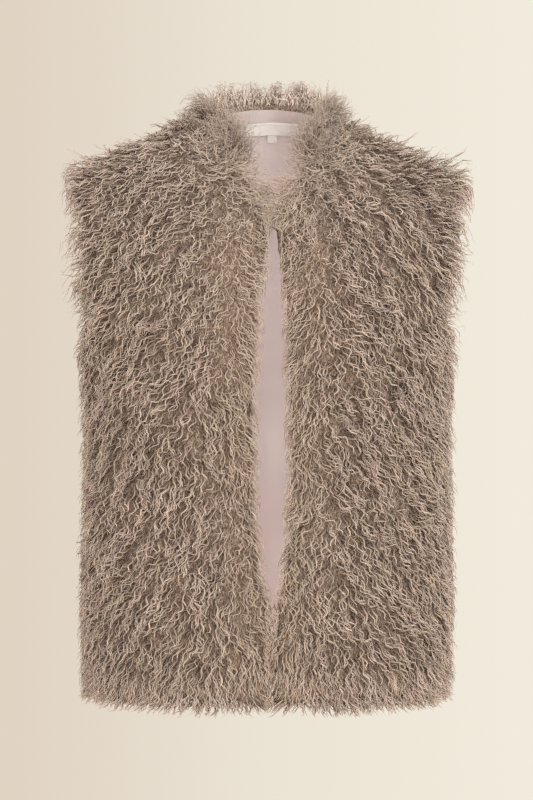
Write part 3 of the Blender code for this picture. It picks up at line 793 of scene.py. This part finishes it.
def satin_material(name, shade):
    """Polyester satin, woven warp-faced: a smooth hand with a soft sheen along the folds."""
    made, tree = new_material(name)
    place = add_node(tree, "TexCoord").outputs["Object"]
    # Warp threads are 0.12 mm apart, drawn 0.5 mm apart so that they show
    stretch = add_node(
        tree, "Mapping", values={"Scale": (2000.0, 2000.0, 120.0)}, links={"Vector": place}
    )
    threads = add_node(
        tree, "TexNoise", values={"Scale": 1.0, "Detail": 1.0},
        links={"Vector": stretch},
    )
    soft = add_node(
        tree, "TexNoise", values={"Scale": 14.0, "Detail": 2.0}, links={"Vector": place}
    )
    stops = two_shades(shade, 0.93)
    colour = add_node(tree, "ValToRGB", links={"Fac": soft}, stops=stops)
    surface = {"Roughness": 0.42, "IOR": 1.5, "Sheen Weight": 0.25, "Sheen Roughness": 0.35}
    relief = {"Strength": 0.25, "Distance": 0.0002}
    close_material(tree, colour, surface, threads, relief)
    return made


def woven_material(settings):
    """Woven damask label, a tight ribbed cotton weave: matt cream, with a rib across it."""
    made, tree = new_material("woven_label_tape")
    place = add_node(tree, "TexCoord").outputs["Object"]
    # Ribs are 0.3 mm apart, drawn 0.8 mm apart so that they show
    ribs = add_node(
        tree, "TexWave", {"bands_direction": "Z"}, links={"Vector": place},
        values={"Scale": 390.0, "Distortion": 0.4, "Detail": 1.0},
    )
    slub = add_node(
        tree, "TexNoise", values={"Scale": 900.0, "Detail": 2.0}, links={"Vector": place}
    )
    stops = two_shades(settings.label_colour[:], 0.92)
    colour = add_node(tree, "ValToRGB", links={"Fac": slub}, stops=stops)
    surface = {"Roughness": 0.75, "Sheen Weight": 0.1}
    relief = {"Strength": 0.35, "Distance": 0.0002}
    close_material(tree, colour, surface, ribs, relief)
    return made


# Sizes and colours that a user would change


class VestPileSettings(bpy.types.PropertyGroup):
    lock_length: FloatProperty(
        name="Lock length", description="Length of a lock", default=0.032, unit="LENGTH"
    )
    lock_width: FloatProperty(
        name="Lock width", description="Width of a lock", default=0.0020, unit="LENGTH"
    )
    wave_length: FloatProperty(
        name="Wave length", description="From curl to curl", default=0.0145, unit="LENGTH"
    )
    wave_height: FloatProperty(
        name="Wave height", description="How far a curl swings", default=0.0020, unit="LENGTH"
    )
    clump_spacing: FloatProperty(
        name="Clump spacing", description="From clump to clump", default=0.0095, unit="LENGTH"
    )
    locks_spacing_area: FloatProperty(
        name="Lock area", description="Cloth that one lock covers, in square metres", default=2.4e-5
    )
    front_locks: IntProperty(name="Front locks", description="Locks on each front", default=7100)
    back_locks: IntProperty(name="Back locks", description="Locks on the back", default=8900)
    collar_locks: IntProperty(name="Collar locks", description="Locks on the collar", default=2300)
    root_colour: FloatVectorProperty(
        name="Root colour", description="Pile at its root", subtype="COLOR", default=linear("5f4839")
    )
    tip_colour: FloatVectorProperty(
        name="Tip colour", description="Pile at its tip", subtype="COLOR", default=linear("d5c2b9")
    )


class VestLiningSettings(bpy.types.PropertyGroup):
    satin_colour: FloatVectorProperty(
        name="Satin colour", description="The lining", subtype="COLOR", default=linear("d9cccb")
    )
    # The neck facing is the lining's satin in a darker shade: painted shade, since the band faces up and
    # catches more light than the rest
    facing_painted_shade_colour: FloatVectorProperty(
        name="Facing colour", description="The band in the neck", subtype="COLOR",
        default=linear("b9abaa"),
    )
    label_colour: FloatVectorProperty(
        name="Label colour", description="The labels", subtype="COLOR", default=linear("dedad7")
    )
    fold_height: FloatProperty(
        name="Fold height", description="Height of the lining's folds", default=0.0016, unit="LENGTH"
    )
    label_lift: FloatProperty(
        name="Label lift", description="How far a label's free edge stands off", default=0.0055,
        unit="LENGTH",
    )


class VestStageSettings(bpy.types.PropertyGroup):
    camera_distance: FloatProperty(
        name="Camera distance", description="From the vest's middle", default=3.0, unit="LENGTH"
    )
    floor_colour: FloatVectorProperty(
        name="Floor colour", description="The studio floor", subtype="COLOR", default=linear("c9bdac")
    )


# Pieces


def inwards(points):
    """The way into the hollow of the vest, smooth from panel to panel."""
    top = ease(points[:, 2], -0.10, 0.01)
    way = (points - (MIDDLE_X, 0.0, 0.0)) * (0.5, 1.0, 0.0)
    way = unit(way) * (1.0 - 0.7 * top)[:, None]
    way[:, 2] += top * 0.9
    return -unit(way)


def sway(points, height):
    """Soft folds that only ever push the lining into the hollow, never into the fur."""
    across = np.arctan2(points[:, 1], (points[:, 0] - MIDDLE_X) * 0.7)
    hang = 0.5 + 0.5 * np.sin(across * 17 + 1.6 * drift(points, 0.30, 61))
    pucker = 0.5 + 0.5 * drift(points, 0.035, 62)
    neck = ease(points[:, 2], -0.10, -0.02)
    size = height * (hang * (1.0 - 0.75 * neck) + 0.22 * np.clip(pucker, 0, 1))
    return points + inwards(points) * np.maximum(size, 0.0)[:, None]


def on_satin(points):
    """How far back the satin stands behind each point at the back of the neck."""
    depth = np.full(len(points), np.inf)
    for name in ("lining_back_satin", "lining_collar_satin"):
        mesh = bpy.data.objects[name].data
        corners = [list(p.vertices) for p in mesh.polygons]
        satin = BVHTree.FromPolygons([v.co for v in mesh.vertices], corners)
        for i, (x, _, z) in enumerate(points.tolist()):
            hit = satin.ray_cast((x, 0.0, z), (0.0, 1.0, 0.0))[0]
            if hit:
                depth[i] = min(depth[i], hit.y)
    return depth


def lap_seam(points):
    """The facing's lower edge, folded down over the top of the lining where they are sewn."""
    body = tree_of(LININGS[:3])
    gap = np.array([body.find_nearest(p)[3] for p in points.tolist()])
    near = 1.0 - ease(gap, 0.0012, 0.0040)
    moved = points + inwards(points) * (0.0016 * near)[:, None]
    moved[:, 2] -= 0.0020 * near
    return moved


def soften(shell, rounds):
    """Takes the facets out of a sheet of cloth."""
    for _ in range(rounds):
        bmesh.ops.smooth_vert(
            shell, verts=shell.verts, factor=0.5, use_axis_x=True, use_axis_y=True, use_axis_z=True
        )


def object_from(shell, points, name):
    """A piece with a shell's faces and its points moved to the given ones."""
    for vert, point in zip(shell.verts, points):
        vert.co = point
    mesh = bpy.data.meshes.new(name)
    shell.to_mesh(mesh)
    shell.free()
    for polygon in mesh.polygons:
        polygon.use_smooth = True
    return shown(name, mesh)


# Where the labels are sewn: moved across and up from their nodes, and their width and height
LABEL_PLACES = {
    "label_main": (0.006, 0.0020, 1.08, 0.96),
    "label_size": (0.006, 0.0030, 0.86, 1.0),
}


def finish_cloth(piece, node, material):
    piece.data.materials.clear()
    piece.data.materials.append(material)
    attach(piece, "root")
    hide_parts(node)


def make_underfur(node):
    """The panel's backing with its short underfur: the node's shape with its pile cut down."""
    shell = welded([node])
    finer(shell, 1)
    points = points_of(shell)
    foot = feet(points)
    height = np.linalg.norm(points - foot, axis=1)
    kept = SHELL_SHARE
    if node == "collar":
        kept = COLLAR_SHELL_SHARE + 0.05 * ease(points[:, 1], 0.0, 0.04)
    kept = kept + 0.35 * ease(points[:, 2], HEM_Z + 0.020, HEM_Z - 0.006)
    share = 1.0 - (1.0 - kept) * ease(height, 0.003, 0.007)
    rough = 1.0 + 0.22 * drift(points, 0.012, 71) * ease(height, 0.003, 0.007)
    points = foot + (points - foot) * (share * rough)[:, None]
    return object_from(shell, points, node + "_underfur")


def dress_panel(node, count, seed, settings):
    """A panel's locks, on a front or the back in an upper and a lower piece, and its underfur."""
    source = np.random.default_rng(seed)
    number = FUR_PANELS.index(node)
    places = COAT.scatter(number, count, source)
    path, out, width, marks = comb(places, number, settings, source)
    material = bpy.data.materials.get("acrylic_pile") or pile_material(settings)
    endings = ("_locks",) if node == "collar" else ("_locks_upper", "_locks_lower")
    parts = np.array_split(np.argsort(-places[:, 2]), len(endings))
    for ending, part in zip(endings, parts):
        part_marks = {mark: values[part] for mark, values in marks.items()}
        piece = lock_object(node + ending, path[part], out[part], width[part], part_marks, source)
        piece.data.materials.append(material)
        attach(piece, "root")
    # The collar's underfur is a tenth darker than the panels': painted shade, a dark band where a thin
    # shadow line falls above the facing
    kind, lighter = ("collar_underfur", 0.90) if node == "collar" else ("short_underfur", 1.0)
    material = bpy.data.materials.get(kind) or underfur_material(kind, lighter)
    finish_cloth(make_underfur(node), node, material)


class VEST_OT_fronts(bpy.types.Operator):
    """Makes the two fronts: their backing and underfur, and their curly locks"""

    bl_idname = "vest.fronts"
    bl_label = "Fronts"

    def execute(self, context):
        settings = context.scene.vest_pile
        dress_panel("front_left", settings.front_locks, 101, settings)
        dress_panel("front_right", settings.front_locks, 102, settings)
        return {"FINISHED"}


class VEST_OT_back(bpy.types.Operator):
    """Makes the back: its backing and underfur, and its curly locks"""

    bl_idname = "vest.back"
    bl_label = "Back"

    def execute(self, context):
        settings = context.scene.vest_pile
        dress_panel("back", settings.back_locks, 103, settings)
        return {"FINISHED"}


class VEST_OT_collar(bpy.types.Operator):
    """Makes the standing collar: its backing and underfur, and its upright locks"""

    bl_idname = "vest.collar"
    bl_label = "Collar"

    def execute(self, context):
        settings = context.scene.vest_pile
        dress_panel("collar", settings.collar_locks, 104, settings)
        return {"FINISHED"}


class VEST_OT_linings(bpy.types.Operator):
    """Makes the satin linings of the fronts, the back and the collar"""

    bl_idname = "vest.linings"
    bl_label = "Linings"

    def execute(self, context):
        settings = context.scene.vest_lining
        inner = satin_material("polyester_satin", settings.satin_colour[:])
        # The band is the same satin as the lining, darkened as painted shade
        band = satin_material("satin_neck_facing_painted_shade", settings.facing_painted_shade_colour[:])
        for node in LININGS:
            shell = welded([node])
            finer(shell, 2 if node in LININGS[2:] else 1)
            soften(shell, 7 if node in LININGS[2:] else 2)
            points = points_of(shell)
            points = sway(points, settings.fold_height)
            if node == "lining_collar":
                points = lap_seam(points)
            material = band if node == "lining_collar" else inner
            piece = object_from(shell, points, node + "_satin")
            finish_cloth(piece, node, material)
        return {"FINISHED"}


class VEST_OT_labels(bpy.types.Operator):
    """Makes the blank woven neck label and the size tab under it"""

    bl_idname = "vest.labels"
    bl_label = "Labels"

    def execute(self, context):
        settings = context.scene.vest_lining
        material = woven_material(settings)
        for node, (across, up, wider, taller) in LABEL_PLACES.items():
            shell = welded([node])
            finer(shell, 2)
            soften(shell, 3)
            points = points_of(shell)
            middle, top = points[:, 0].mean(), points[:, 2].max()
            thick = np.linalg.norm(points - feet(points), axis=1)
            points[:, 0] = middle + across + (points[:, 0] - middle) * wider
            points[:, 2] = top + up + (points[:, 2] - top) * taller
            top, bottom = points[:, 2].max(), points[:, 2].min()
            free = (top - points[:, 2]) / (top - bottom)
            lift = 0.0005 + settings.label_lift * free**1.6
            if node == "label_size":
                lift = 0.0042 + 0.0012 * free
            points[:, 1] = on_satin(points) - thick - lift
            piece = object_from(shell, points, node + "_tape")
            finish_cloth(piece, node, material)
        return {"FINISHED"}


def add_light(name, kind, place, size, power, colour=(1.0, 1.0, 1.0)):
    """Adds a square soft box that faces the vest's middle, or a small round lamp."""
    data = bpy.data.lights.new(name, kind)
    data.energy = power
    data.color = colour
    if kind == "AREA":
        data.shape = "SQUARE"
        data.size = size
    else:
        data.shadow_soft_size = size
    light = shown(name, data)
    light.location = place
    if kind == "AREA":
        way = Vector(MIDDLE) - Vector(place)
        light.rotation_euler = way.to_track_quat("-Z", "Y").to_euler()
    else:
        light.visible_camera = False


def add_floor(settings):
    """The pale studio floor, well below the hem."""
    clear_piece("studio_floor")
    bpy.ops.object.select_all(action="DESELECT")
    bpy.ops.mesh.primitive_circle_add(vertices=96, radius=2.2, fill_type="NGON")
    floor = bpy.context.object
    floor.name = "studio_floor"
    for vert in floor.data.vertices:
        vert.co.z = FLOOR_Z
    made, tree = new_material("painted_studio_floor")
    place = add_node(tree, "TexCoord").outputs["Object"]
    grain = add_node(tree, "TexNoise", values={"Scale": 3.0, "Detail": 2.0}, links={"Vector": place})
    stops = two_shades(settings.floor_colour[:], 0.98)
    colour = add_node(tree, "ValToRGB", links={"Fac": grain}, stops=stops)
    close_material(tree, colour, {"Roughness": 0.85})
    floor.data.materials.append(made)


def add_backdrop(scene):
    """The paper behind the vest, a little darker on the camera's left."""
    scene.world = bpy.data.worlds.new("studio")
    scene.world.use_nodes = True
    tree = scene.world.node_tree
    tree.nodes.clear()
    place = add_node(tree, "TexCoord")
    way = add_node(tree, "SeparateXYZ", links={0: place.outputs["Generated"]})
    side = add_node(
        tree, "MapRange", values={"From Min": -0.09, "From Max": 0.09}, links={"Value": way.outputs["X"]}
    )
    stops = [(0.0, linear("e0d3c3")), (0.5, linear("ebe3d4")), (1.0, linear("f1ebdd"))]
    paper = add_node(tree, "ValToRGB", links={"Fac": side}, stops=stops)
    glow = add_node(tree, "Background", values={"Strength": 1.0}, links={"Color": paper})
    add_node(tree, "OutputWorld", links={"Surface": glow})


# The stage: what the lights face, the floor's height, the camera's lens in mm and its place
MIDDLE = (0.0, 0.0, -0.30)
FLOOR_Z = -1.15
LENS = 122.7
CAMERA_X = -0.0022
CAMERA_Z = -0.298

# Soft boxes: place, size, power and colour
SOFT_BOXES = {
    "key_light": ((1.9, -2.1, 1.0), 1.2, 31.0, (1.0, 0.98, 0.95)),
    "fill_light": ((0.4, -3.4, -0.1), 1.4, 43.0, (1.0, 0.98, 0.97)),
    "side_light": ((-2.6, -1.2, 0.1), 1.6, 24.0, (1.0, 0.98, 0.97)),
    "top_light": ((0.0, 0.2, 2.2), 1.6, 14.0, (1.0, 0.99, 0.97)),
    "back_light": ((0.6, 2.6, 0.8), 1.8, 26.0, (1.0, 0.99, 0.97)),
}


class VEST_OT_stage(bpy.types.Operator):
    """Makes the camera, the soft studio lights, the pale backdrop and the floor"""

    bl_idname = "vest.stage"
    bl_label = "Stage"

    def execute(self, context):
        scene = context.scene
        settings = scene.vest_stage
        scene.view_settings.view_transform = "Standard"
        scene.view_settings.look = "None"
        lens = bpy.data.cameras.new("camera")
        lens.lens = LENS
        lens.sensor_width = 36.0
        camera = shown("camera", lens)
        camera.location = (CAMERA_X, -settings.camera_distance, CAMERA_Z)
        camera.rotation_euler = (math.pi / 2, 0.0, 0.0)
        scene.camera = camera
        for name, (place, size, power, colour) in SOFT_BOXES.items():
            add_light(name, "AREA", place, size, power, colour)
        # Small lamps stand for the light that falls through the cloth into the hollow
        for number, level in enumerate((-0.12, -0.35, -0.52)):
            add_light("hollow_light_%d" % number, "POINT", (0.03, -0.03, level), 0.03, 0.13)
        add_floor(settings)
        add_backdrop(scene)
        return {"FINISHED"}


class VEST_PT_pieces(bpy.types.Panel):
    """Lists the vest's pieces in the 3D view's sidebar"""

    bl_label = "Fur Vest"
    bl_idname = "VEST_PT_pieces"
    bl_space_type = "VIEW_3D"
    bl_region_type = "UI"
    bl_category = "Fur Vest"

    def draw(self, context):
        layout = self.layout
        for group in (context.scene.vest_pile, context.scene.vest_lining, context.scene.vest_stage):
            box = layout.box()
            for name in group.__annotations__:
                box.prop(group, name)
        for operator in OPERATORS:
            layout.operator(operator.bl_idname)


SETTINGS = (VestPileSettings, VestLiningSettings, VestStageSettings)
OPERATORS = (
    VEST_OT_stage,
    VEST_OT_fronts,
    VEST_OT_back,
    VEST_OT_collar,
    VEST_OT_linings,
    VEST_OT_labels,
)


def register():
    for kind in (*SETTINGS, *OPERATORS, VEST_PT_pieces):
        bpy.utils.register_class(kind)
    bpy.types.Scene.vest_pile = PointerProperty(type=VestPileSettings)
    bpy.types.Scene.vest_lining = PointerProperty(type=VestLiningSettings)
    bpy.types.Scene.vest_stage = PointerProperty(type=VestStageSettings)


def unregister():
    del bpy.types.Scene.vest_stage
    del bpy.types.Scene.vest_lining
    del bpy.types.Scene.vest_pile
    for kind in reversed((*SETTINGS, *OPERATORS, VEST_PT_pieces)):
        bpy.utils.unregister_class(kind)


def main():
    register()
    bpy.ops.vest.stage()
    bpy.ops.vest.fronts()
    bpy.ops.vest.back()
    bpy.ops.vest.collar()
    bpy.ops.vest.linings()
    bpy.ops.vest.labels()
    bpy.context.view_layer.update()


if __name__ == "__main__":
    main()
